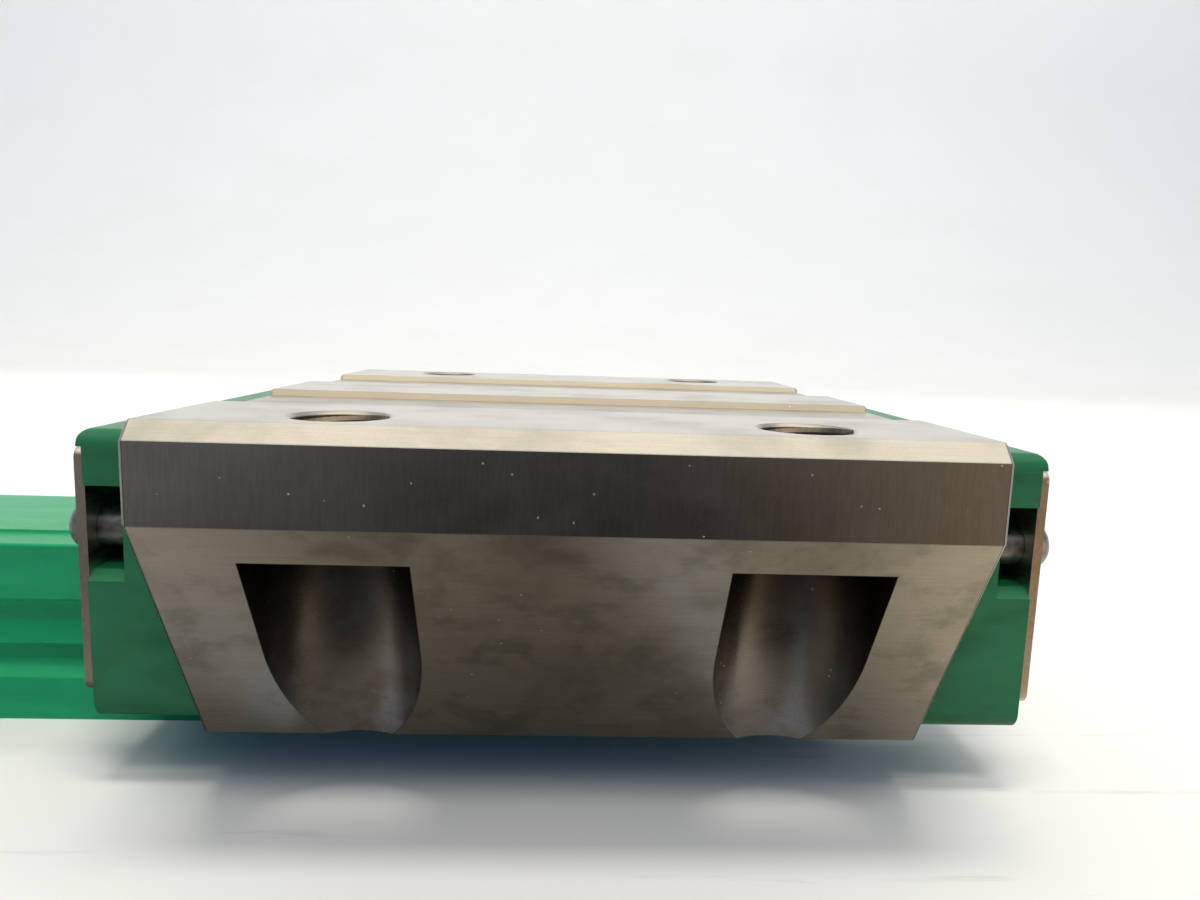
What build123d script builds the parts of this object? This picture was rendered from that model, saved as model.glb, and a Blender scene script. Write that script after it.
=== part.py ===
"""Linear guide carriage, low flange type, size 25, on its plastic transport rail.

Frame: X runs along the rail, Y across it, Z up. The origin is the centre of the top mounting
face. Everything is in millimetres.
"""
from build123d import *
import os
from math import acos, asin, cos, degrees, hypot, pi, sin

os.makedirs("parts", exist_ok=True)

# ---------------------------------------------------------------- driving dimensions
# steel saddle plate
plate_length = 61.0
plate_width = 73.0
flange_side_bottom = 7.15        # depth of the vertical side face below the top
leg_bottom = 27.6                # depth of the steel legs below the top
leg_outer = 24.65                # half width over the legs at their foot
top_chamfer_y = 1.2
top_chamfer_z = 1.35
end_chamfer = 0.3
band_half = 6.5                  # centre band of the ground top face
pad_inner = 20.8                 # inner edge of the two flange pads
relief_depth = 0.6
relief_slope = 0.35

# M8 fixing holes and the bolt slots under them
fix_x = 17.5
fix_y = 30.0
fix_radius = 3.6                 # M8 thread, as a plain cylinder of its pitch diameter
fix_chamfer = 0.3
slot_ceiling = 10.06
slot_radius = 6.0

# guide rail the carriage is made for; the transport rail copies its width and its height
rail_top = 10.9
rail_base = 33.0
rail_half = 11.5

# transport rail: lower on top than the guide rail, and cut to a length
dummy_top = 14.95
dummy_shelf = 15.25              # the two ledges beside the raised middle
dummy_middle_half = 6.9
rail_start = -75.0
rail_end = 28.0

# ball circuits: load row and return row of the upper and the lower circuit
ball_radius = 1.75
balls_per_circuit = 38
load_y = 12.3
upper_load_z = -13.6
lower_load_z = -22.5
return_y = 18.2
upper_return_z = -14.6
lower_return_z = -21.5
track_gap = 0.10                 # ball to steel raceway
rail_track_gap = 0.20            # ball to the loose-fitting transport rail
channel_radius = 1.88            # bore of the return channels

# end assemblies, from the steel end face outwards
guide_start = plate_length / 2 + 0.05
guide_thickness = 0.7
turn_x = guide_start + guide_thickness
cap_start = plate_length / 2 + 0.08
cap_body_end = 39.7
cap_rim_end = 40.15
end_plate_end = 40.5
cap_half = 24.0
cap_top = 2.3
cap_bottom = 27.0
cap_opening_top = 10.1

# shoulder screws that hold each head piece
screw_y = 20.5
screw_z = -10.9
screw_head_radius = 2.15
screw_head_height = 1.7
screw_shoulder_radius = 1.8
screw_thread_radius = 1.45
screw_depth = 7.0

# lubrication plug in the middle of each end
plug_z = -6.0
plug_radius = 2.4
plug_head_radius = 3.3

fit_gap = 0.06                   # pieces that sit in each other


# ---------------------------------------------------------------- helpers
def on_circle(centre, radius, angle):
    """Point of a circle at an angle in degrees, in sketch coordinates."""
    return (centre[0] + radius * cos(angle * pi / 180), centre[1] + radius * sin(angle * pi / 180))


def arc_on_circle(centre, radius, start, end):
    """Arc of a circle between two angles in degrees."""
    ThreePointArc(
        on_circle(centre, radius, start),
        on_circle(centre, radius, (start + end) / 2),
        on_circle(centre, radius, end),
    )


def save(piece, name):
    """Label a finished piece and write it as its own node."""
    piece.part.label = name
    export_step(piece.part, f"parts/{name}.step")


def save_both_ends(piece, name):
    """Write the right-hand piece and its mirror image at the left-hand end."""
    save(piece, f"{name}_right")
    with BuildPart() as mirrored:
        mirror(piece.part, about=Plane.YZ)
    save(mirrored, f"{name}_left")


def save_both_sides(piece, name):
    """Write the far-side piece (+Y) and its mirror image on the near side (-Y)."""
    save(piece, f"{name}_far")
    with BuildPart() as mirrored:
        mirror(piece.part, about=Plane.XZ)
    save(mirrored, f"{name}_near")


def across(x, y, z):
    """Plane square to the rail, with its normal along +X."""
    return Plane(origin=(x, y, z), x_dir=(0, 1, 0), z_dir=(1, 0, 0))


upper_load = (load_y, upper_load_z)
lower_load = (load_y, lower_load_z)
upper_return = (return_y, upper_return_z)
lower_return = (return_y, lower_return_z)
circuits = {"upper": (upper_load, upper_return), "lower": (lower_load, lower_return)}
track_radius = ball_radius + track_gap
turn_radius = hypot(return_y - load_y, upper_return_z - upper_load_z) / 2


def turn_plane(load, back, side):
    """Plane of one turnaround: X along the rail, Y from the load row to the return row."""
    step_y = side * (back[0] - load[0])
    step_z = back[1] - load[1]
    middle = (turn_x, side * (load[0] + back[0]) / 2, (load[1] + back[1]) / 2)
    return Plane(origin=middle, x_dir=(1, 0, 0), z_dir=(0, -step_z, step_y))


# ---------------------------------------------------------------- saddle plate
lip_angle = 5.0
lip_bottom = 25.0
leg_inner = 13.4
ceiling = 9.3
ceiling_half = 11.0
return_bore = 2.3

with BuildPart() as saddle_plate:
    with BuildSketch(Plane.YZ):
        with BuildLine():
            Polyline(
                (0, 0),
                (band_half, 0),
                (band_half + relief_slope, -relief_depth),
                (pad_inner - relief_slope, -relief_depth),
                (pad_inner, 0),
                (plate_width / 2 - top_chamfer_y, 0),
                (plate_width / 2, -top_chamfer_z),
                (plate_width / 2, -flange_side_bottom),
                (leg_outer, -leg_bottom),
                (leg_inner, -leg_bottom),
                (leg_inner, -lip_bottom),
                (on_circle(lower_load, track_radius, -90 - lip_angle)[0], -lip_bottom),
                on_circle(lower_load, track_radius, -90 - lip_angle),
            )
            arc_on_circle(lower_load, track_radius, -90 - lip_angle, lip_angle)
            Line(
                on_circle(lower_load, track_radius, lip_angle),
                on_circle(upper_load, track_radius, -lip_angle),
            )
            arc_on_circle(upper_load, track_radius, -lip_angle, 90 + lip_angle)
            Polyline(
                on_circle(upper_load, track_radius, 90 + lip_angle),
                (ceiling_half, on_circle(upper_load, track_radius, 90 + lip_angle)[1]),
                (ceiling_half, -ceiling),
                (0, -ceiling),
                (0, 0),
            )
        make_face()
        mirror(about=Plane.YZ)
    extrude(amount=plate_length / 2, both=True)

    # the ends are broken all round the outer section
    outer_edges = [
        edge
        for edge in saddle_plate.edges().filter_by(Plane.YZ)
        if abs(edge.center().Z) < top_chamfer_z or abs(edge.center().Y) > leg_outer
    ]
    chamfer(outer_edges, end_chamfer)

    # bolt slots, open to the side and to the bottom
    with BuildSketch(Plane.XY.offset(-slot_ceiling)):
        with GridLocations(2 * fix_x, 2 * fix_y, 2, 2):
            Circle(slot_radius)
        with GridLocations(2 * fix_x, 2 * (fix_y + slot_radius), 2, 2):
            Rectangle(2 * slot_radius, 2 * slot_radius)
    extrude(amount=-leg_bottom, mode=Mode.SUBTRACT)

    with GridLocations(2 * fix_x, 2 * fix_y, 2, 2):
        Hole(fix_radius, depth=slot_ceiling + 1)
    hole_rims = [
        edge
        for edge in saddle_plate.edges().filter_by(GeomType.CIRCLE)
        if abs(edge.center().Z) < 1e-6 and abs(edge.radius - fix_radius) < 1e-6
    ]
    chamfer(hole_rims, fix_chamfer)

    # return channels, and the tapped holes for the end screws
    for side in (-1, 1):
        for load, back in circuits.values():
            with Locations(across(0, side * back[0], back[1])):
                Cylinder(return_bore, plate_length + 1, mode=Mode.SUBTRACT)
        for end in (-1, 1):
            with Locations(across(end * plate_length / 2, side * screw_y, screw_z)):
                Cylinder(screw_thread_radius + fit_gap, 2 * screw_depth + 1, mode=Mode.SUBTRACT)

save(saddle_plate, "saddle_plate")


# ---------------------------------------------------------------- ball circuits
circuit_length = 4 * turn_x + 2 * pi * turn_radius


def ball_place(distance, load, back, side):
    """Centre of the ball at a distance along its circuit."""
    run = 2 * turn_x
    turn = pi * turn_radius
    if distance < run:
        x = distance - turn_x
        share = 0.0
    elif distance < run + turn:
        angle = (distance - run) / turn_radius
        x = turn_x + turn_radius * sin(angle)
        share = (1 - cos(angle)) / 2
    elif distance < 2 * run + turn:
        x = turn_x - (distance - run - turn)
        share = 1.0
    else:
        angle = (distance - 2 * run - turn) / turn_radius
        x = -turn_x - turn_radius * sin(angle)
        share = (1 + cos(angle)) / 2
    y = load[0] + share * (back[0] - load[0])
    z = load[1] + share * (back[1] - load[1])
    return (x, side * y, z)


for level, (load, back) in circuits.items():
    with BuildPart() as ball_row:
        pitch = circuit_length / balls_per_circuit
        places = [ball_place((n + 0.5) * pitch, load, back, 1) for n in range(balls_per_circuit)]
        with Locations(*places):
            Sphere(ball_radius)
    save_both_sides(ball_row, f"balls_{level}")

    with BuildPart() as return_tube:
        with BuildSketch(across(0, back[0], back[1])):
            Circle(return_bore - fit_gap)
            Circle(channel_radius, mode=Mode.SUBTRACT)
        extrude(amount=plate_length / 2, both=True)
    save_both_sides(return_tube, f"return_tube_{level}")


# ---------------------------------------------------------------- retainers and long seals
retainer_inner = 11.85
retainer_outer = load_y + track_radius * cos(lip_angle * pi / 180) - fit_gap
retainer_reach = 1.5             # the strip's edge below the upper balls' centres

with BuildPart() as ball_retainer:
    with BuildSketch(Plane.YZ):
        with BuildLine():
            Polyline(
                (retainer_inner, upper_load_z - retainer_reach),
                (retainer_outer, upper_load_z - retainer_reach),
                (retainer_outer, lower_load_z + retainer_reach),
                (retainer_inner, lower_load_z + retainer_reach),
                close=True,
            )
        make_face()
        with Locations(upper_load, lower_load):
            Circle(ball_radius + track_gap, mode=Mode.SUBTRACT)
    extrude(amount=plate_length / 2, both=True)
save_both_sides(ball_retainer, "ball_retainer")

with BuildPart() as upper_seal:
    with BuildSketch(Plane.YZ):
        with BuildLine():
            Polyline(
                (8.2, -ceiling - fit_gap),
                (ceiling_half - fit_gap, -ceiling - fit_gap),
                (ceiling_half - fit_gap, -12.2),
                (10.5, -12.2),
                (10.2, -10.5),
                (8.2, -10.3),
                close=True,
            )
        make_face()
    extrude(amount=plate_length / 2, both=True)
save_both_sides(upper_seal, "upper_seal")

lower_lip_y = on_circle(lower_load, track_radius, -90 - lip_angle)[0] - fit_gap
with BuildPart() as lower_seal:
    with BuildSketch(Plane.YZ):
        with BuildLine():
            Polyline(
                (11.0, -23.9),
                (11.7, -24.42),
                (lower_lip_y, -24.42),
                (lower_lip_y, -lip_bottom - fit_gap),
                (leg_inner - fit_gap, -lip_bottom - fit_gap),
                (leg_inner - fit_gap, -leg_bottom + 0.2),
                (11.3, -leg_bottom + 0.2),
                (11.2, -26.0),
                (11.3, -25.4),
                close=True,
            )
        make_face()
    extrude(amount=plate_length / 2, both=True)
save_both_sides(lower_seal, "lower_seal")


# ---------------------------------------------------------------- return guides
guide_core_radius = 2.7
guide_core_width = 3.4

with BuildPart() as return_guides:
    for side in (-1, 1):
        with BuildSketch(across(guide_start, 0, 0)):
            with BuildLine():
                Polyline(
                    (side * 12.2, -12.4),
                    (side * 17.0, -12.4),
                    (side * 20.3, -14.2),
                    (side * 20.3, -24.0),
                    (side * 12.2, -24.0),
                    close=True,
                )
            make_face()
        extrude(amount=guide_thickness)
        for load, back in circuits.values():
            with BuildSketch(turn_plane(load, back, side).offset(-guide_core_width / 2)):
                Circle(guide_core_radius)
                with Locations((-guide_core_radius, 0)):
                    Rectangle(2 * guide_core_radius, 3 * guide_core_radius, mode=Mode.SUBTRACT)
            extrude(amount=guide_core_width)
        for load, back in circuits.values():
            with Locations(turn_plane(load, back, side)):
                Torus(turn_radius, channel_radius, mode=Mode.SUBTRACT)
            for centre in (load, back):
                with Locations(across(guide_start, side * centre[0], centre[1])):
                    Cylinder(channel_radius, 3 * guide_thickness, mode=Mode.SUBTRACT)
save_both_ends(return_guides, "return_guides")


# ---------------------------------------------------------------- head pieces
window_start = 36.7
window_inner = 17.7
window_top = 6.9
window_bottom = 14.1
wiper_start = 37.6
wiper_half = 15.6
wiper_top = 8.7
wiper_bottom = 26.0
sill_start = 23.0                # the window's lower face slopes down from here to the outside
sill_slope = 0.8
cap_corner = 1.6
cap_round = 0.9                  # rounding between the top and the end of the head piece
rim_height = 1.4                 # rim over the end plate's top edge


def rail_opening_points(side):
    """Half of the rail opening of the head pieces and end plates, in sketch coordinates."""
    return [
        (0, -cap_opening_top),
        (side * 10.2, -cap_opening_top),
        (side * 10.8, -12.2),
        (side * 12.1, -12.9),
        (side * 12.1, -cap_bottom - 1),
        (0, -cap_bottom - 1),
    ]


with BuildPart() as head_piece:
    with BuildSketch(across(cap_start, 0, -(cap_top + cap_bottom) / 2)):
        RectangleRounded(2 * cap_half, cap_bottom - cap_top, cap_corner)
    extrude(amount=cap_rim_end - cap_start)
    with BuildSketch(Plane.XZ):
        with BuildLine():
            Polyline(
                (cap_rim_end - cap_round, -cap_top),
                (cap_rim_end - cap_round, -cap_top + 1),
                (cap_rim_end + 1, -cap_top + 1),
                (cap_rim_end + 1, -cap_top - cap_round),
                (cap_rim_end, -cap_top - cap_round),
            )
            arc_on_circle((cap_rim_end - cap_round, -cap_top - cap_round), cap_round, 0, 90)
        make_face()
    extrude(amount=cap_half + 1, both=True, mode=Mode.SUBTRACT)
    # seat of the end plate, under the rim
    with BuildSketch(across(cap_body_end, 0, -cap_top - rim_height)):
        Rectangle(2 * cap_half + 1, cap_bottom, align=(Align.CENTER, Align.MAX))
    extrude(amount=cap_rim_end - cap_body_end + 1, mode=Mode.SUBTRACT)

    # rail opening
    with BuildSketch(across(cap_start - 1, 0, 0)):
        for side in (-1, 1):
            with BuildLine():
                Polyline(*rail_opening_points(side), close=True)
            make_face()
    extrude(amount=cap_rim_end - cap_start + 2, mode=Mode.SUBTRACT)

    # seat of the wiper
    with BuildSketch(across(wiper_start - fit_gap, 0, 0)):
        with Locations((0, -(wiper_top + wiper_bottom) / 2)):
            Rectangle(2 * (wiper_half + fit_gap), wiper_bottom - wiper_top + 2 * fit_gap)
    extrude(amount=cap_rim_end - wiper_start + 1, mode=Mode.SUBTRACT)

    # lubrication bore
    with Locations(across(cap_body_end, 0, plug_z)):
        Cylinder(plug_radius + fit_gap, 9.0, mode=Mode.SUBTRACT)

    for side in (-1, 1):
        # side window between the head piece and the end plate, crossed by the screw
        with BuildSketch(across(window_start, 0, 0)):
            with Locations((side * (window_inner + 15), -(window_top + window_bottom) / 2)):
                Rectangle(30, window_bottom - window_top)
        extrude(amount=cap_rim_end - window_start + 1, mode=Mode.SUBTRACT)
        with BuildSketch(across(window_start, 0, 0)):
            with BuildLine():
                Polyline(
                    (side * sill_start, -window_bottom + 1),
                    (side * sill_start, -window_bottom),
                    (side * (sill_start + 2), -window_bottom - 2 * sill_slope),
                    (side * (sill_start + 2), -window_bottom + 1),
                    close=True,
                )
            make_face()
        extrude(amount=cap_rim_end - window_start + 1, mode=Mode.SUBTRACT)
        with Locations(across(cap_start, side * screw_y, screw_z)):
            Cylinder(screw_shoulder_radius + fit_gap, 30, mode=Mode.SUBTRACT)
        # seat of the return guide, and the two turnarounds
        with BuildSketch(across(cap_start - 1, 0, 0)):
            with BuildLine():
                Polyline(
                    (side * 12.0, -12.3),
                    (side * 17.05, -12.3),
                    (side * 20.4, -14.1),
                    (side * 20.4, -24.1),
                    (side * 12.0, -24.1),
                    close=True,
                )
            make_face()
        extrude(amount=turn_x - cap_start + 1 + fit_gap, mode=Mode.SUBTRACT)
        for load, back in circuits.values():
            turn = turn_plane(load, back, side)
            with Locations(turn):
                Torus(turn_radius, channel_radius, mode=Mode.SUBTRACT)
            with BuildSketch(turn.offset(-guide_core_width / 2 - fit_gap)):
                Circle(guide_core_radius + fit_gap)
            extrude(amount=guide_core_width + 2 * fit_gap, mode=Mode.SUBTRACT)
save_both_ends(head_piece, "head_piece")


# ---------------------------------------------------------------- end wipers
def guide_rail_outline(gap):
    """Half outline of the guide rail's section down one side, made larger by a gap."""
    radius = ball_radius + rail_track_gap - gap
    reach = degrees(acos((load_y - rail_half - gap) / radius))
    Polyline(
        (0, -rail_top + gap),
        (9.0 + gap, -rail_top + gap),
        (9.8 + gap, -11.7),
        on_circle(upper_load, radius, 180),
    )
    arc_on_circle(upper_load, radius, 180, 180 + reach)
    Line(on_circle(upper_load, radius, 180 + reach), on_circle(lower_load, radius, 180 - reach))
    arc_on_circle(lower_load, radius, 180 - reach, 180)
    rail_foot_lines(radius, gap, rail_half + gap)


def rail_foot_lines(track, gap, foot_half):
    """The rail's outline below the lower track, in to the middle of the foot."""
    Polyline(
        on_circle(lower_load, track, 180),
        (10.2 + gap, -23.2),
        (10.9 + gap, -25.4),
        (9.9 + gap, -26.2),
        (9.9 + gap, -27.3),
        (foot_half, -28.7),
        (foot_half, -rail_base),
        (0, -rail_base),
    )


wiper_gap = 0.2
wiper_end = cap_body_end - fit_gap
with BuildPart() as end_wiper:
    with BuildSketch(across(wiper_start, 0, 0)):
        with Locations((0, -(wiper_top + wiper_bottom) / 2)):
            Rectangle(2 * wiper_half, wiper_bottom - wiper_top)
        with BuildSketch(mode=Mode.SUBTRACT):
            with BuildLine():
                guide_rail_outline(wiper_gap)
                Line((0, -rail_base), (0, -rail_top + wiper_gap))
            make_face()
            mirror(about=Plane.YZ)
    extrude(amount=wiper_end - wiper_start)
save_both_ends(end_wiper, "end_wiper")


# ---------------------------------------------------------------- end plates
end_plate_half = 23.7
end_plate_top = 3.75
end_plate_bottom = 24.6

with BuildPart() as end_plate:
    with BuildSketch(across(cap_body_end, 0, 0)):
        with Locations((0, -(end_plate_top + end_plate_bottom) / 2)):
            RectangleRounded(2 * end_plate_half, end_plate_bottom - end_plate_top, 1.0)
        for side in (-1, 1):
            with BuildLine():
                Polyline(*rail_opening_points(side), close=True)
            make_face(mode=Mode.SUBTRACT)
        with Locations((screw_y, screw_z), (-screw_y, screw_z)):
            Circle(screw_shoulder_radius + fit_gap, mode=Mode.SUBTRACT)
        with Locations((0, plug_z)):
            Circle(plug_radius + fit_gap, mode=Mode.SUBTRACT)
    extrude(amount=end_plate_end - cap_body_end)
save_both_ends(end_plate, "end_plate")


# ---------------------------------------------------------------- end screws
socket_radius = 1.15
socket_depth = 1.3
head_flat = 1.25
head_wall = 0.4
head_crown = (1.23, 1.89)        # point of the head's rounded shoulder: height, radius

with BuildPart() as end_screws:
    shoulder = end_plate_end - guide_start + 0.02
    for side in (-1, 1):
        seat_at = (end_plate_end + 0.01, side * screw_y, screw_z)
        seat = Plane(origin=seat_at, x_dir=(1, 0, 0), z_dir=(0, -1, 0))
        with BuildSketch(seat):
            with BuildLine():
                Line((0, screw_head_radius), (head_wall, screw_head_radius))
                ThreePointArc((head_wall, screw_head_radius), head_crown, (screw_head_height, head_flat))
                Polyline(
                    (screw_head_height, head_flat),
                    (screw_head_height, 0),
                    (-shoulder - screw_depth + 0.3, 0),
                    (-shoulder - screw_depth + 0.3, screw_thread_radius),
                    (-shoulder, screw_thread_radius),
                    (-shoulder, screw_shoulder_radius),
                    (0, screw_shoulder_radius),
                    (0, screw_head_radius),
                )
            make_face()
        revolve(axis=Axis((0, side * screw_y, screw_z), (1, 0, 0)))
        with BuildSketch(across(end_plate_end + screw_head_height + 0.01, side * screw_y, screw_z)):
            RegularPolygon(socket_radius, 6)
        extrude(amount=-socket_depth, mode=Mode.SUBTRACT)
save_both_ends(end_screws, "end_screws")


# ---------------------------------------------------------------- lubrication plugs
plug_head_thickness = 0.9
slit_width = 0.8

with BuildPart() as lube_plug:
    with Locations(across(end_plate_end + 0.01, 0, plug_z)):
        Cylinder(plug_head_radius, plug_head_thickness, align=(Align.CENTER, Align.CENTER, Align.MIN))
    with Locations(across(end_plate_end + 0.1, 0, plug_z)):
        Cylinder(plug_radius, 5.0, align=(Align.CENTER, Align.CENTER, Align.MAX))
    chamfer(lube_plug.faces().sort_by(Axis.X)[-1].edges(), 0.25)
    with Locations(across(end_plate_end + plug_head_thickness, 0, plug_z)):
        Box(2 * plug_head_radius + 1, slit_width, 1.0, mode=Mode.SUBTRACT)
save_both_ends(lube_plug, "lube_plug")


# ---------------------------------------------------------------- transport rail
rail_wall = 2.2
web = 2.4
upper_cell_top = dummy_top + rail_wall
upper_cell_bottom = 20.6
lower_cell_top = upper_cell_bottom + web
lower_cell_bottom = rail_base - rail_wall
upper_cell_half = 8.0
lower_cell_half = 7.6

with BuildPart() as transport_rail:
    with BuildSketch(across(rail_start, 0, 0)):
        with BuildLine():
            track = ball_radius + rail_track_gap
            shelf_angle = 180 + degrees(asin((dummy_shelf + upper_load_z) / track))
            reach = degrees(acos((load_y - rail_half) / track))
            Polyline(
                (0, -dummy_top),
                (dummy_middle_half, -dummy_top),
                (dummy_middle_half + 0.2, -dummy_shelf),
                on_circle(upper_load, track, shelf_angle),
            )
            arc_on_circle(upper_load, track, shelf_angle, 180 + reach)
            Line(on_circle(upper_load, track, 180 + reach), on_circle(lower_load, track, 180 - reach))
            arc_on_circle(lower_load, track, 180 - reach, 180)
            rail_foot_lines(track, 0, rail_half)
            Line((0, -rail_base), (0, -dummy_top))
        make_face()
        mirror(about=Plane.YZ)
        # four hollow cells either side of a middle web
        for side in (-1, 1):
            upper_middle = (side * (upper_cell_half + web / 2) / 2, -(upper_cell_top + upper_cell_bottom) / 2)
            lower_middle = (side * (lower_cell_half + web / 2) / 2, -(lower_cell_top + lower_cell_bottom) / 2)
            with Locations(upper_middle):
                RectangleRounded(upper_cell_half - web / 2, upper_cell_bottom - upper_cell_top, 0.8,
                                 mode=Mode.SUBTRACT)
            with Locations(lower_middle):
                RectangleRounded(lower_cell_half - web / 2, lower_cell_bottom - lower_cell_top, 0.8,
                                 mode=Mode.SUBTRACT)
    extrude(amount=rail_end - rail_start)
save(transport_rail, "transport_rail")

chord = 2 * turn_radius * sin(circuit_length / balls_per_circuit / 2 / turn_radius)
print(f"turn radius {turn_radius:.3f}, ball pitch {circuit_length / balls_per_circuit:.3f}, "
      f"closest centres in a turn {chord:.3f}")
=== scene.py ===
"""Looks of the linear guide carriage on its transport rail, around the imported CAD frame.

Frame: metres, X along the rail, Y across it, Z up, origin at the centre of the top mounting face.
"""
from functools import partial, reduce
from math import cos, pi, radians, sin
from types import SimpleNamespace

import bmesh
import bpy
from mathutils import Matrix, Vector


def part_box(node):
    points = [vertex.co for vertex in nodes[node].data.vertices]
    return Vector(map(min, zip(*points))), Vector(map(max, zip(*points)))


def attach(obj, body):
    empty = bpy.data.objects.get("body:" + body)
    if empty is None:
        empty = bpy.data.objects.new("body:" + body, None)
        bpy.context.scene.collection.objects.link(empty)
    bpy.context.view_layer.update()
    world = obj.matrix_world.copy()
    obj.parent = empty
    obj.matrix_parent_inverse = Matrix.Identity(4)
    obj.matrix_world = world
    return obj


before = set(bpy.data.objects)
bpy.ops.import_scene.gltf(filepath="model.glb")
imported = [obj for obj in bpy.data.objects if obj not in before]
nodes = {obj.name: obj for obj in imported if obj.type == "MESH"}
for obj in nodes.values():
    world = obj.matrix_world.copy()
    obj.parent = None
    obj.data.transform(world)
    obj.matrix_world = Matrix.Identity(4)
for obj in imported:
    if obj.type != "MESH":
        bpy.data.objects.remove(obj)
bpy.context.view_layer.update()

MM = 0.001
PER_MM = 1000.0                  # texture scale that counts features per millimetre

SADDLE_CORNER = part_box("saddle_plate")[1]
FLOOR_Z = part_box("transport_rail")[0].z

# sizes that the finishes follow
FIX_X = 17.5 * MM                # fixing holes and bolt slots stand at this X and Y
FIX_Y = 30.0 * MM
FIX_RADIUS = 3.6 * MM
SLOT_RADIUS = 6.0 * MM
SLOT_CEILING = -10.06 * MM
SLOT_BOTTOM = -27.6 * MM
RELIEF_Z = -0.6 * MM             # floor of the two grooves in the top face
PAD_INNER = 20.8 * MM            # where the grooves end and the outer pads start
FLANK_Z = -7.2 * MM              # top of the slanted flanks
END_CHAMFER = 0.36 * MM          # broken edge round each end of the steel, along X
PLATE_HALF = 23.7 * MM           # half the width of the end plates
SLACK = 0.05 * MM                # how far a mask reaches past the faces it covers


def rgb(red, green, blue):
    return (red, green, blue, 1.0)


# ---------------------------------------------------------------- node helpers
class Nodes:
    """Short calls for the few kinds of node used here, in any node tree."""

    def __init__(self, tree):
        self.tree = tree
        self.coords = self.add("ShaderNodeTexCoord").outputs

    def add(self, kind, **settings):
        made = self.tree.nodes.new(kind)
        for key, value in settings.items():
            setattr(made, key, value)
        return made

    def plug(self, value, socket):
        """Sets a constant on the socket, or links another node's output to it."""
        if isinstance(value, (int, float, tuple)):
            socket.default_value = value
        else:
            self.tree.links.new(value, socket)

    def math(self, operation, a, b=0.0):
        made = self.add("ShaderNodeMath", operation=operation)
        self.plug(a, made.inputs[0])
        self.plug(b, made.inputs[1])
        return made.outputs[0]

    def times(self, *factors):
        return reduce(partial(self.math, "MULTIPLY"), factors)

    def plus(self, *terms):
        return reduce(partial(self.math, "ADD"), terms)

    def minus(self, value, less):
        return self.math("SUBTRACT", value, less)

    def above(self, value, limit):
        """Mask: 1 where the value is over the limit, 0 elsewhere."""
        return self.math("GREATER_THAN", value, limit)

    def below(self, value, limit):
        """Mask: 1 where the value is under the limit, 0 elsewhere."""
        return self.math("LESS_THAN", value, limit)

    def remap(self, value, low, high, to_low=0.0, to_high=1.0, smooth=False):
        made = self.add("ShaderNodeMapRange", interpolation_type="SMOOTHSTEP" if smooth else "LINEAR")
        self.plug(value, made.inputs["Value"])
        made.inputs["From Min"].default_value = low
        made.inputs["From Max"].default_value = high
        made.inputs["To Min"].default_value = to_low
        made.inputs["To Max"].default_value = to_high
        return made.outputs[0]

    def split(self, vector):
        made = self.add("ShaderNodeSeparateXYZ")
        self.plug(vector, made.inputs[0])
        return made.outputs

    def mix(self, factor, a, b, blend="MIX"):
        made = self.add("ShaderNodeMix", data_type="RGBA", blend_type=blend)
        self.plug(factor, made.inputs[0])
        self.plug(a, made.inputs[6])
        self.plug(b, made.inputs[7])
        return made.outputs[2]

    def ramp(self, place, stops):
        """Colours along a 0 to 1 value; stops are (place, colour)."""
        made = self.add("ShaderNodeValToRGB")
        marks = made.color_ramp.elements
        marks[0].position, marks[0].color = stops[0]
        marks[1].position, marks[1].color = stops[-1]
        for position, color in stops[1:-1]:
            marks.new(position).color = color
        self.plug(place, made.inputs[0])
        return made.outputs[0]


class Shader(Nodes):
    """A material around the principled shader, with textures in object coordinates."""

    def __init__(self, name):
        self.material = bpy.data.materials.new(name)
        self.material.use_nodes = True
        super().__init__(self.material.node_tree)
        self.bsdf = self.tree.nodes["Principled BSDF"]

    def scaled(self, density):
        """Object coordinates stretched to a density: features per millimetre along each axis."""
        made = self.add("ShaderNodeMapping")
        made.inputs["Scale"].default_value = [per_mm * PER_MM for per_mm in density]
        self.plug(self.coords["Object"], made.inputs["Vector"])
        return made.outputs[0]

    def noise(self, density, detail=2.0, roughness=0.5, distortion=0.0):
        made = self.add("ShaderNodeTexNoise")
        made.inputs["Scale"].default_value = 1.0
        made.inputs["Detail"].default_value = detail
        made.inputs["Roughness"].default_value = roughness
        made.inputs["Distortion"].default_value = distortion
        self.plug(self.scaled(density), made.inputs["Vector"])
        return made.outputs[0]

    def cells(self, density):
        """Distance to the nearest of many scattered points."""
        made = self.add("ShaderNodeTexVoronoi")
        made.inputs["Scale"].default_value = 1.0
        self.plug(self.scaled(density), made.inputs["Vector"])
        return made.outputs["Distance"]

    def coats(self, tone, *coats):
        """Colours laid over a tone in turn; each coat is (how much of it, colour)."""
        for amount, color in coats:
            tone = self.mix(amount, tone, color)
        return tone

    def bump(self, height, distance, strength, below=None):
        made = self.add("ShaderNodeBump")
        made.inputs["Strength"].default_value = strength
        made.inputs["Distance"].default_value = distance
        self.plug(height, made.inputs["Height"])
        if below is not None:
            self.plug(below, made.inputs["Normal"])
        return made.outputs[0]

    def finish(self, color, roughness, normal=None, metallic=0.0, **constants):
        self.plug(color, self.bsdf.inputs["Base Color"])
        self.plug(roughness, self.bsdf.inputs["Roughness"])
        if normal is not None:
            self.plug(normal, self.bsdf.inputs["Normal"])
        self.plug(metallic, self.bsdf.inputs["Metallic"])
        for key, value in constants.items():
            self.bsdf.inputs[key.replace("_", " ")].default_value = value
        return self.material


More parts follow.
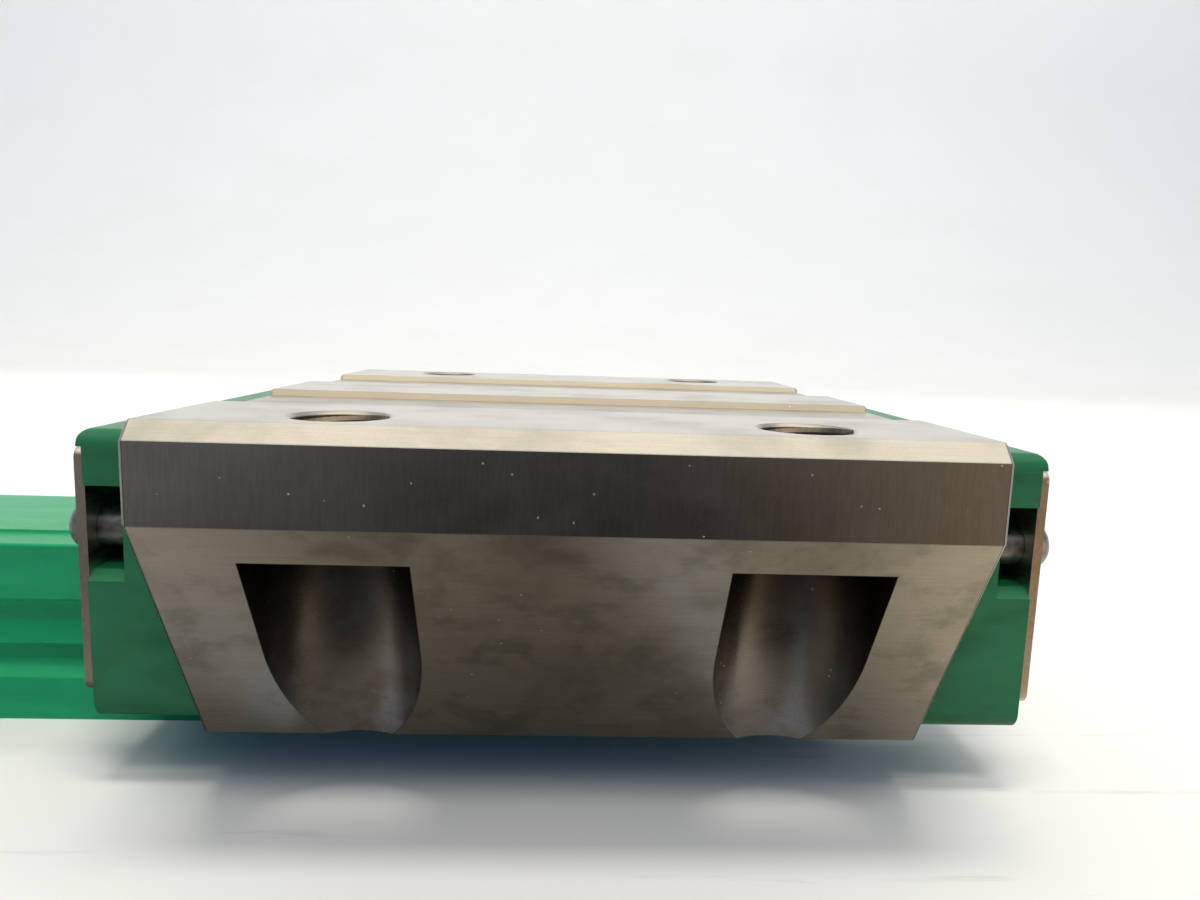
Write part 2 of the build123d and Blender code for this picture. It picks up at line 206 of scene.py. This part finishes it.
# ---------------------------------------------------------------- steel of the saddle
def steel_regions(s):
    """Masks of the saddle's faces, 1 inside and 0 outside, worked out from its own sizes."""
    x, y, z = s.split(s.coords["Object"])
    facing = s.split(s.coords["Normal"])
    side_x = s.math("ABSOLUTE", x)
    side_y = s.math("ABSOLUTE", y)

    def from_fixing(across):
        """Distance in plan from a fixing hole's axis."""
        along = s.minus(side_x, FIX_X)
        return s.math("SQRT", s.plus(s.times(along, along), s.times(across, across)))

    inward = s.minus(FIX_Y, side_y)
    slot_plan = s.below(from_fixing(s.math("MAXIMUM", inward, 0.0)), SLOT_RADIUS + SLACK)
    slot_reach = s.above(side_y, FIX_Y - SLOT_RADIUS - 2 * SLACK)
    groove_depth = s.times(s.below(z, -SLACK), s.above(z, RELIEF_Z - SLACK))
    groove = s.times(groove_depth, s.below(side_y, PAD_INNER + SLACK))
    floor_facing = 0.95          # the normal's Z over which a face counts as a floor
    end_facing = 0.9995          # the normal's X over which a face counts as an end
    off_end = s.below(s.math("ABSOLUTE", facing["X"]), end_facing)
    return SimpleNamespace(
        z=z,
        side_x=side_x,
        side=s.above(side_y, SADDLE_CORNER.y - SLACK),
        slot=s.times(slot_plan, slot_reach, s.below(z, SLOT_CEILING + SLACK)),
        hole=s.below(from_fixing(inward), FIX_RADIUS + SLACK),
        relief=s.times(groove, s.above(facing["Z"], floor_facing)),
        step=s.times(groove, s.below(facing["Z"], floor_facing)),
        flank=s.below(z, FLANK_Z),
        broken=s.times(off_end, s.above(side_x, SADDLE_CORNER.x - END_CHAMFER)),
    )


def steel_skin(s, side):
    """Textures of the steel: grinding lines along the rail, mottling, film, pits, dust and hairs."""
    fine = s.noise((0.22, 13.0, 13.0), detail=4.0, roughness=0.7)
    medium = s.noise((0.05, 3.4, 3.4), detail=3.0, roughness=0.6)
    mottle = s.noise((0.11, 0.15, 0.15), detail=6.0, roughness=0.62, distortion=0.25)
    cloud = s.noise((0.20, 0.22, 0.30), detail=6.0, roughness=0.62, distortion=0.2)
    patch = s.noise((0.05, 0.09, 0.09), detail=2.0)
    dusty = s.math("MAXIMUM", s.remap(patch, 0.46, 0.55), s.times(side, 0.75))
    specks = s.remap(s.cells((0.62, 0.62, 0.62)), 0.040, 0.060, 1.0, 0.0)
    hairs = s.remap(s.noise((0.05, 0.9, 0.35), detail=7.0, roughness=0.75), 0.665, 0.69)
    return SimpleNamespace(
        lines=s.plus(s.times(fine, 0.75), s.times(medium, 0.25)),
        mottle=mottle,
        blotch=s.remap(mottle, 0.42, 0.68, smooth=True),
        film=s.remap(cloud, 0.50, 0.66, smooth=True),
        pit=s.remap(s.noise((2.6, 2.6, 2.6), detail=3.0, roughness=0.6), 0.69, 0.74),
        grain=s.noise((7.0, 7.0, 7.0), detail=4.0, roughness=0.75),
        weave=s.noise((7.0, 7.0, 0.6), detail=3.0, roughness=0.6),
        tool_marks=s.noise((1.1, 1.1, 0.05), detail=2.0, roughness=0.5),
        dust=s.times(specks, dusty),
        hair=s.times(hairs, s.remap(patch, 0.40, 0.50, 1.0, 0.0)),
    )


def ground_tone(s, on, skin):
    """Colour of the ground faces: film and stains on the flanks, the stains denser mid-flank as partly
    painted shade; painted shade on the greyer side, the brown groove floors and the broken end edges; a
    painted warm highlight on the groove steps.
    """
    # the blotches are denser in the middle of the flanks: partly stains, partly painted shade where the
    # flanks mirror the shadow below
    middle = s.remap(on.side_x, 8.0 * MM, 25.0 * MM, 1.0, 0.0, smooth=True)
    stain = s.plus(0.20, s.times(on.flank, middle, 0.28))
    bare = s.mix(s.remap(skin.lines, 0.36, 0.64), rgb(0.465, 0.432, 0.375), rgb(0.575, 0.54, 0.475))
    return s.coats(
        bare,
        (s.remap(skin.grain, 0.35, 0.65, 0.30, 0.0), rgb(0.34, 0.31, 0.26)),
        (s.times(skin.film, on.flank, 0.36), rgb(0.175, 0.180, 0.135)),
        (s.times(skin.pit, on.flank, 0.35), rgb(0.17, 0.15, 0.12)),
        # stains, denser mid-flank as partly painted shade
        (s.times(skin.blotch, stain), rgb(0.22, 0.195, 0.155)),
        # painted shade: the side face is made a darker grey
        (s.times(on.side, 0.86), rgb(0.345, 0.335, 0.315)),
        (s.times(on.side, s.remap(skin.weave, 0.38, 0.62, 0.34, 0.0)), rgb(0.23, 0.22, 0.205)),
        # painted shade: the broken end edges are darkened, which dims their bright highlight
        (s.times(on.broken, 0.8), rgb(0.13, 0.12, 0.10)),
        # painted shade: the groove floors are darkened brown
        (s.times(on.relief, 0.45), rgb(0.20, 0.17, 0.13)),
        # painted highlight: the groove steps get a light warm beige, as if lit
        (s.times(on.step, 0.8), rgb(0.62, 0.52, 0.38)),
    )


def slot_tone(s, on, skin):
    """Colour of the milled slots: brown, with painted shade under the ceiling and a painted bluish
    reflection of the floor towards the bottom.
    """
    bare = s.mix(s.remap(skin.mottle, 0.35, 0.65), rgb(0.165, 0.145, 0.115), rgb(0.29, 0.275, 0.25))
    # painted shade: darker up under the slot's ceiling
    ceiling_shade = s.remap(on.z, -21.0 * MM, SLOT_CEILING, 0.0, 0.72, smooth=True)
    # painted reflection: lighter and bluish towards the slot bottom, standing in for the floor it
    # mirrors
    floor_reflection = s.remap(on.z, SLOT_BOTTOM, -17.0 * MM, 0.55, 0.0, smooth=True)
    return s.coats(
        bare,
        (ceiling_shade, rgb(0.045, 0.040, 0.034)),
        (floor_reflection, rgb(0.41, 0.42, 0.47)),
        (s.times(skin.film, 0.55), rgb(0.21, 0.165, 0.11)),
    )


def ground_steel():
    """Hardened steel of the saddle: ground outside, milled in the bolt slots, oiled and stained, with
    painted shade and highlights on some faces.
    """
    s = Shader("ground_steel")
    on = steel_regions(s)
    skin = steel_skin(s, on.side)
    tone = s.coats(
        ground_tone(s, on, skin),
        (on.slot, slot_tone(s, on, skin)),
        (s.times(on.hole, 0.85), rgb(0.16, 0.12, 0.08)),
        (s.times(skin.dust, 0.9), rgb(0.92, 0.92, 0.93)),
        (s.times(skin.hair, 0.18), rgb(0.80, 0.79, 0.76)),
    )
    rough = s.plus(
        0.325,
        s.times(s.remap(skin.lines, 0.3, 0.7, -0.06, 0.06), s.minus(1.0, s.times(on.side, 0.9))),
        s.remap(skin.grain, 0.3, 0.7, -0.03, 0.03),
        s.times(skin.blotch, 0.07),
        s.times(skin.dust, 0.3),
        s.times(on.side, -0.03),
        s.times(on.slot, -0.06),
    )
    ground = s.times(
        s.minus(1.0, on.slot),
        s.minus(1.0, s.times(on.side, 0.88)),
        s.minus(1.0, s.times(on.flank, 0.45)),
    )
    height = s.plus(
        s.times(skin.lines, ground),
        s.times(skin.grain, s.minus(0.22, s.times(on.slot, 0.20))),
        s.times(skin.tool_marks, on.slot, 0.25),
    )
    normal = s.bump(height, 0.006 * MM, strength=0.8)
    normal = s.bump(skin.dust, 0.02 * MM, strength=0.6, below=normal)
    return s.finish(tone, rough, normal, metallic=1.0)


# ---------------------------------------------------------------- other materials
def moulded_plastic(name, dark, light, gloss, shine, streak=0.0):
    """Satin green plastic: a soft grain, faint flow marks and a few pale scuffs."""
    s = Shader(name)
    grain = s.noise((5.0, 5.0, 5.0), detail=3.0, roughness=0.6)
    flow = s.noise((0.12, 0.3, 0.3), detail=3.0, roughness=0.5, distortion=0.4)
    along = s.noise((0.02, 3.0, 3.0), detail=2.0, roughness=0.5)
    scuff = s.remap(s.noise((0.7, 2.4, 2.4), detail=5.0, roughness=0.7), 0.66, 0.74)
    tone = s.mix(s.remap(flow, 0.3, 0.7), dark, light)
    tone = s.mix(s.times(scuff, 0.22), tone, rgb(0.28, 0.42, 0.33))
    rough = s.plus(s.remap(grain, 0.3, 0.7, gloss - 0.05, gloss + 0.07), s.times(scuff, 0.12))
    height = s.plus(s.times(grain, 1.0 - streak), s.times(along, streak))
    return s.finish(tone, rough, s.bump(height, 0.02 * MM, strength=0.5), Specular_IOR_Level=shine)


def rolled_sheet():
    """The thin end plates: rolled sheet with a warm tarnish, darker at the sheared edges."""
    s = Shader("rolled_sheet")
    across = s.noise((6.0, 0.15, 2.5), detail=3.0, roughness=0.6)
    stain = s.noise((0.3, 0.3, 0.3), detail=4.0, roughness=0.6)
    side_y = s.math("ABSOLUTE", s.split(s.coords["Object"])["Y"])
    sheared = s.above(side_y, PLATE_HALF - 2 * SLACK)
    tone = s.coats(
        s.mix(s.remap(across, 0.35, 0.65), rgb(0.58, 0.50, 0.41), rgb(0.74, 0.67, 0.57)),
        (s.remap(stain, 0.5, 0.75, 0.0, 0.45), rgb(0.34, 0.23, 0.15)),
        (s.times(sheared, 0.45), rgb(0.26, 0.19, 0.14)),
    )
    rough = s.remap(across, 0.3, 0.7, 0.28, 0.45)
    return s.finish(tone, rough, s.bump(across, 0.01 * MM, strength=0.6), metallic=1.0)


def plated_screw():
    """Zinc-plated screws and plugs."""
    s = Shader("plated_screw")
    cloud = s.noise((1.2, 1.2, 1.2), detail=4.0, roughness=0.6)
    turned = s.noise((7.0, 0.4, 0.4), detail=2.0)
    tone = s.mix(s.remap(cloud, 0.35, 0.7), rgb(0.22, 0.22, 0.225), rgb(0.44, 0.44, 0.45))
    rough = s.remap(cloud, 0.3, 0.7, 0.32, 0.5)
    return s.finish(tone, rough, s.bump(turned, 0.01 * MM, strength=0.6), metallic=1.0)


def seal_rubber():
    """Black nitrile of the wipers and long seals, slightly dusty."""
    s = Shader("seal_rubber")
    grain = s.noise((8.0, 8.0, 8.0), detail=4.0, roughness=0.7)
    dust = s.remap(s.noise((0.6, 0.6, 0.6), detail=5.0, roughness=0.7), 0.52, 0.72, 0.0, 0.5)
    tone = s.mix(dust, rgb(0.012, 0.012, 0.013), rgb(0.06, 0.058, 0.052))
    rough = s.remap(grain, 0.3, 0.7, 0.5, 0.75)
    return s.finish(tone, rough, s.bump(grain, 0.02 * MM, strength=0.6))


def plain_plastic(name, dark, light):
    """Moulded inner pieces: guides, tubes and ball strips."""
    s = Shader(name)
    grain = s.noise((4.0, 4.0, 4.0), detail=3.0, roughness=0.6)
    cloud = s.noise((0.4, 0.8, 0.8), detail=3.0)
    tone = s.mix(s.remap(cloud, 0.3, 0.7), dark, light)
    rough = s.remap(grain, 0.3, 0.7, 0.38, 0.55)
    return s.finish(tone, rough, s.bump(grain, 0.015 * MM, strength=0.5))


def ball_steel():
    """Polished balls with a film of grease."""
    s = Shader("ball_steel")
    film = s.noise((1.5, 1.5, 1.5), detail=4.0, roughness=0.6)
    tone = s.mix(s.remap(film, 0.4, 0.7), rgb(0.78, 0.78, 0.79), rgb(0.62, 0.60, 0.54))
    rough = s.remap(film, 0.3, 0.7, 0.05, 0.2)
    return s.finish(tone, rough, s.bump(film, 0.004 * MM, strength=0.4), metallic=1.0)


def table_top():
    """White table: matt, with smudges, and a few faint scratches near the object."""
    s = Shader("table_top")
    nearby = s.remap(s.split(s.coords["Object"])["Y"], 0.0, 0.12, 1.0, 0.0)
    smudge = s.noise((0.012, 0.02, 0.02), detail=5.0, roughness=0.6)
    scratch = s.remap(s.noise((0.02, 0.35, 0.1), detail=6.0, roughness=0.7), 0.62, 0.68, 0.0, 0.42)
    tone = s.coats(
        s.mix(s.remap(smudge, 0.4, 0.7), rgb(0.87, 0.863, 0.815), rgb(0.855, 0.846, 0.795)),
        (s.times(scratch, nearby), rgb(0.62, 0.60, 0.56)),
    )
    return s.finish(tone, s.remap(smudge, 0.3, 0.7, 0.42, 0.55))


steel = ground_steel()
cap_green = moulded_plastic("cap_green", rgb(0.012, 0.125, 0.045), rgb(0.020, 0.180, 0.072), 0.42, 0.27)
rail_green = moulded_plastic(
    "rail_green", rgb(0.009, 0.265, 0.098), rgb(0.016, 0.350, 0.138), 0.36, 0.14, streak=0.8)
sheet = rolled_sheet()
screw = plated_screw()
rubber = seal_rubber()
guide_plastic = plain_plastic("guide_plastic", rgb(0.018, 0.018, 0.020), rgb(0.035, 0.035, 0.038))
tube_plastic = plain_plastic("tube_plastic", rgb(0.62, 0.60, 0.52), rgb(0.74, 0.72, 0.66))
balls = ball_steel()

FINISHES = {
    "saddle_plate": steel,
    "head_piece": cap_green,
    "transport_rail": rail_green,
    "end_plate": sheet,
    "end_screws": screw,
    "lube_plug": screw,
    "end_wiper": rubber,
    "upper_seal": rubber,
    "lower_seal": rubber,
    "return_guides": guide_plastic,
    "ball_retainer": guide_plastic,
    "return_tube": tube_plastic,
    "balls": balls,
}
for name, piece in nodes.items():
    finish = next(material for start, material in FINISHES.items() if name.startswith(start))
    piece.data.materials.clear()
    piece.data.materials.append(finish)


# ---------------------------------------------------------------- softened edges
WELD_GAP = 0.0005 * MM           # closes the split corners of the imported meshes
SHARP_ANGLE = radians(28)
EDGE_WIDTHS = {
    "saddle_plate": 0.09 * MM,
    "head_piece": 0.10 * MM,
    "transport_rail": 0.12 * MM,
    "end_plate": 0.07 * MM,
}


def soften(piece, width):
    """Rounds the sharp edges a little and leaves the flat faces flat."""
    weld = piece.modifiers.new("weld", "WELD")
    weld.merge_threshold = WELD_GAP
    bevel = piece.modifiers.new("edge", "BEVEL")
    bevel.width = width
    bevel.segments = 2
    bevel.limit_method = "ANGLE"
    bevel.angle_limit = SHARP_ANGLE
    weighted = piece.modifiers.new("normals", "WEIGHTED_NORMAL")
    weighted.keep_sharp = True


for name, piece in nodes.items():
    for start, width in EDGE_WIDTHS.items():
        if name.startswith(start):
            soften(piece, width)


# ---------------------------------------------------------------- threads of the fixing holes
THREAD_PITCH = 1.25 * MM
THREAD_CREST = 3.32 * MM         # radius of the M8 thread's crests
THREAD_FOOT = FIX_RADIUS + 0.03 * MM    # radius of the ridge's foot, just inside the steel
THREAD_INSET = 0.45 * MM         # from each end of the hole
THREAD_STEPS = 40                # points in each turn
FADE_STEPS = 12                  # points over which the ridge rises at each end
FOOT_HALF = 0.36                 # half the ridge's height at foot and crest, as parts of the pitch
CREST_HALF = 0.07


def thread_ridge(name, centre_x, centre_y):
    """Helical ridge that stands inward from the wall of a fixing hole."""
    start, end = -THREAD_INSET, SLOT_CEILING + THREAD_INSET
    turns = (start - end) / THREAD_PITCH
    count = int(turns * THREAD_STEPS)
    mesh = bpy.data.meshes.new(name)
    made = bmesh.new()
    rows = []
    for step in range(count + 1):
        angle = 2 * pi * step / THREAD_STEPS
        height = start - THREAD_PITCH * step / THREAD_STEPS
        fade = min(1.0, step / FADE_STEPS, (count - step) / FADE_STEPS)
        tip = THREAD_FOOT - (THREAD_FOOT - THREAD_CREST) * fade
        section = (
            (THREAD_FOOT, FOOT_HALF), (tip, CREST_HALF),
            (tip, -CREST_HALF), (THREAD_FOOT, -FOOT_HALF),
        )
        row = []
        for radius, rise in section:
            place = (
                centre_x + radius * cos(angle),
                centre_y + radius * sin(angle),
                height + rise * THREAD_PITCH,
            )
            row.append(made.verts.new(place))
        rows.append(row)
    for row, following in zip(rows, rows[1:]):
        for n in range(4):
            made.faces.new((row[n - 1], following[n - 1], following[n], row[n]))
    made.faces.new(rows[0])
    made.faces.new(rows[-1][::-1])
    bmesh.ops.recalc_face_normals(made, faces=made.faces)
    made.to_mesh(mesh)
    made.free()
    ridge = bpy.data.objects.new(name, mesh)
    bpy.context.collection.objects.link(ridge)
    mesh.materials.append(steel)
    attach(ridge, "carriage")


for end_name, end in (("left", -1), ("right", 1)):
    for side_name, side in (("near", -1), ("far", 1)):
        thread_ridge(f"thread_{end_name}_{side_name}", end * FIX_X, side * FIX_Y)


# ---------------------------------------------------------------- table and flag
def flat_sheet(name, profile, half_length, material):
    """Sheet with a profile in Y and Z, drawn out along X; it belongs to the stage."""
    mesh = bpy.data.meshes.new(name)
    made = bmesh.new()
    rows = [[made.verts.new((x, y, z)) for y, z in profile] for x in (-half_length, half_length)]
    for left, right, left_next, right_next in zip(rows[0], rows[1], rows[0][1:], rows[1][1:]):
        face = made.faces.new((left, right, right_next, left_next))
        face.smooth = True
    made.to_mesh(mesh)
    made.free()
    sheet_object = bpy.data.objects.new(name, mesh)
    bpy.context.collection.objects.link(sheet_object)
    mesh.materials.append(material)
    return sheet_object


def build_floor():
    """Table that sweeps up into a backdrop behind the object."""
    near, bend, rise, radius = -1.2, 0.55, 1.3, 0.35
    steps = 16
    half_length = 1.5
    profile = [(near, FLOOR_Z), (bend, FLOOR_Z)]
    for step in range(1, steps + 1):
        angle = pi / 2 * step / steps
        profile.append((bend + radius * sin(angle), FLOOR_Z + radius * (1 - cos(angle))))
    profile.append((bend + radius, rise))
    flat_sheet("floor", profile, half_length, table_top())


def flag_glow():
    """Glow of the flag in three strips along X, dim in the middle and warm at the right."""
    material = bpy.data.materials.new("flag_glow")
    material.use_nodes = True
    material.node_tree.nodes.clear()
    n = Nodes(material.node_tree)
    spot = n.split(n.coords["Object"])
    x, y = spot["X"], spot["Y"]

    # what the slanted flanks mirror, what lies in between, and what the side face mirrors
    near = n.ramp(n.remap(x, -0.06, 0.06), (
        (0.0, rgb(0.62, 0.565, 0.455)), (0.12, rgb(0.54, 0.49, 0.395)), (0.34, rgb(0.31, 0.28, 0.22)),
        (0.50, rgb(0.235, 0.21, 0.165)), (0.66, rgb(0.40, 0.358, 0.28)), (0.74, rgb(0.60, 0.54, 0.425)),
        (0.86, rgb(0.83, 0.75, 0.59)), (1.0, rgb(0.90, 0.81, 0.64))))
    middle = n.ramp(n.remap(x, -0.10, 0.10), (
        (0.0, rgb(0.20, 0.20, 0.21)), (0.20, rgb(0.10, 0.10, 0.115)), (0.36, rgb(0.06, 0.06, 0.07)),
        (0.60, rgb(0.05, 0.047, 0.048)), (0.72, rgb(0.05, 0.042, 0.035)), (0.84, rgb(0.70, 0.47, 0.25)),
        (1.0, rgb(0.36, 0.25, 0.15))))
    far = n.ramp(n.remap(x, -0.13, 0.13), (
        (0.0, rgb(0.42, 0.41, 0.40)), (0.10, rgb(0.34, 0.332, 0.325)), (0.26, rgb(0.04, 0.038, 0.035)),
        (0.50, rgb(0.012, 0.008, 0.003)), (0.70, rgb(0.024, 0.018, 0.012)),
        (0.90, rgb(0.38, 0.275, 0.19)), (1.0, rgb(0.42, 0.31, 0.22))))

    # the near strip dims towards the rail, except at the right end
    dimming = n.ramp(n.remap(y, -0.048, -0.020), (
        (0.0, rgb(1.0, 1.0, 1.0)), (0.5, rgb(0.52, 0.52, 0.53)), (1.0, rgb(0.09, 0.12, 0.19))))
    dimmed = n.mix(1.0, near, dimming, blend="MULTIPLY")
    near = n.mix(n.remap(x, 0.028, 0.046), dimmed, near)
    front = n.mix(n.remap(y, -0.125, -0.100), far, middle)
    glow = n.add("ShaderNodeEmission")
    n.plug(n.mix(n.remap(y, -0.056, -0.046), front, near), glow.inputs["Color"])
    n.plug(glow.outputs[0], n.add("ShaderNodeOutputMaterial").inputs["Surface"])
    return material


def build_flag():
    """Glowing card flat on the table in front, which only reflections see."""
    near, far, lift = -0.9, -0.0125, 0.001
    half_length = 1.2
    profile = [(near, FLOOR_Z + lift), (far, FLOOR_Z + lift)]
    flag = flat_sheet("flag", profile, half_length, flag_glow())
    flag.visible_camera = False
    flag.visible_diffuse = False
    flag.visible_shadow = False
    flag.visible_transmission = False


# ---------------------------------------------------------------- light and camera
FRONT_EDGE = (0.0, -0.035, -0.03)       # what the lamps over the table shine at


def build_world():
    """Pale room: bright above and behind the object, and dim low in front of it."""
    world = bpy.data.worlds.new("studio")
    bpy.context.scene.world = world
    world.use_nodes = True
    n = Nodes(world.node_tree)
    toward = n.split(n.coords["Generated"])
    behind = n.remap(toward["Y"], -0.10, 0.50, smooth=True)
    over = n.remap(toward["Z"], 0.30, 0.85, smooth=True)
    bright = n.math("MAXIMUM", behind, over)

    # what falls on matt faces, what shiny ones mirror, and what the camera sees past the stage
    cast = n.mix(bright, rgb(0.004, 0.118, 0.345), rgb(0.66, 0.67, 0.68))
    mirrored = n.mix(bright, rgb(0.16, 0.18, 0.21), rgb(0.78, 0.785, 0.79))
    ray = n.add("ShaderNodeLightPath").outputs
    light = n.mix(ray["Is Glossy Ray"], cast, mirrored)
    light = n.mix(ray["Is Camera Ray"], light, rgb(0.92, 0.93, 0.94))
    background = world.node_tree.nodes["Background"]
    n.plug(light, background.inputs["Color"])
    background.inputs["Strength"].default_value = 1.0


def aimed(place, target):
    """Rotation of a lamp at a place that shines at a target."""
    return (Vector(target) - Vector(place)).to_track_quat("-Z", "Y").to_euler()


def area_light(name, place, rotation, size, power, color):
    data = bpy.data.lights.new(name, "AREA")
    data.shape = "RECTANGLE"
    data.size, data.size_y = size
    data.energy = power
    data.color = color
    light = bpy.data.objects.new(name, data)
    bpy.context.collection.objects.link(light)
    light.location = place
    light.rotation_euler = rotation
    light.visible_camera = False
    return light


def build_lamps():
    """Two lamps above, which give the two steps of the shadow, and one for the backdrop."""
    backdrop = (0.0, 0.95, 0.20)
    for name, place, target, size, power, color in (
        ("lamp_above", (0.0, -0.10, 0.62), FRONT_EDGE, (0.26, 0.10), 1.75, (1.0, 0.965, 0.90)),
        ("lamp_front", (0.03, -0.32, 0.58), FRONT_EDGE, (0.24, 0.10), 1.15, (1.0, 0.96, 0.90)),
        ("backdrop_light", (0.0, 0.30, 0.75), backdrop, (2.4, 0.3), 7.2, (1.0, 0.955, 0.915)),
    ):
        lamp = area_light(name, place, aimed(place, target), size, power, color)
        lamp.visible_glossy = False


def build_cards():
    """Cards that only reflections see: sheen on the top faces, the right wall, glints in the slots."""
    top_centre = (0.0, 0.0, 0.0)
    cards = []
    for name, place, target, size, power, color in (
        ("sheen_above", (0.0, -0.16, 0.60), FRONT_EDGE, (1.1, 0.34), 1.42, (1.0, 0.93, 0.76)),
        ("wall_right", (0.30, -0.20, -0.010), FRONT_EDGE, (0.10, 0.10), 0.13, (1.0, 0.72, 0.42)),
        ("sheen_behind", (0.0, 0.50, 0.14), top_centre, (1.6, 0.30), 0.66, (1.0, 0.985, 0.95)),
    ):
        cards.append(area_light(name, place, aimed(place, target), size, power, color))
    lift = 0.0015                # the glints lie just over the flag and face up
    glints = (("streak_left", -0.036, -0.036, -1.06), ("streak_right", 0.010, -0.042, -0.544))
    for name, x, y, turn in glints:
        place = (x, y, FLOOR_Z + lift)
        cards.append(area_light(name, place, (pi, 0, turn), (0.007, 0.030), 0.00013, (0.72, 0.82, 1.0)))
    for card in cards:
        card.visible_diffuse = False


def build_camera():
    """The photograph's view: low, close, a little to the left of the middle."""
    place = (-0.9 * MM, -93.9 * MM, 6.93 * MM)
    yaw, pitch, roll = -0.0435, -0.1393, -0.0325
    data = bpy.data.cameras.new("camera")
    data.sensor_width = 36.0
    data.lens = 25.7
    data.clip_start = 2 * MM
    camera = bpy.data.objects.new("camera", data)
    bpy.context.collection.objects.link(camera)
    turned = Matrix.Rotation(yaw, 4, "Z") @ Matrix.Rotation(pitch, 4, "X")
    tilted = Matrix.Rotation(roll, 4, "Y") @ Matrix.Rotation(pi / 2, 4, "X")
    camera.matrix_world = Matrix.Translation(place) @ turned @ tilted
    bpy.context.scene.camera = camera


build_floor()
build_flag()
build_world()
build_lamps()
build_cards()
build_camera()
bpy.context.scene.view_settings.view_transform = "Standard"
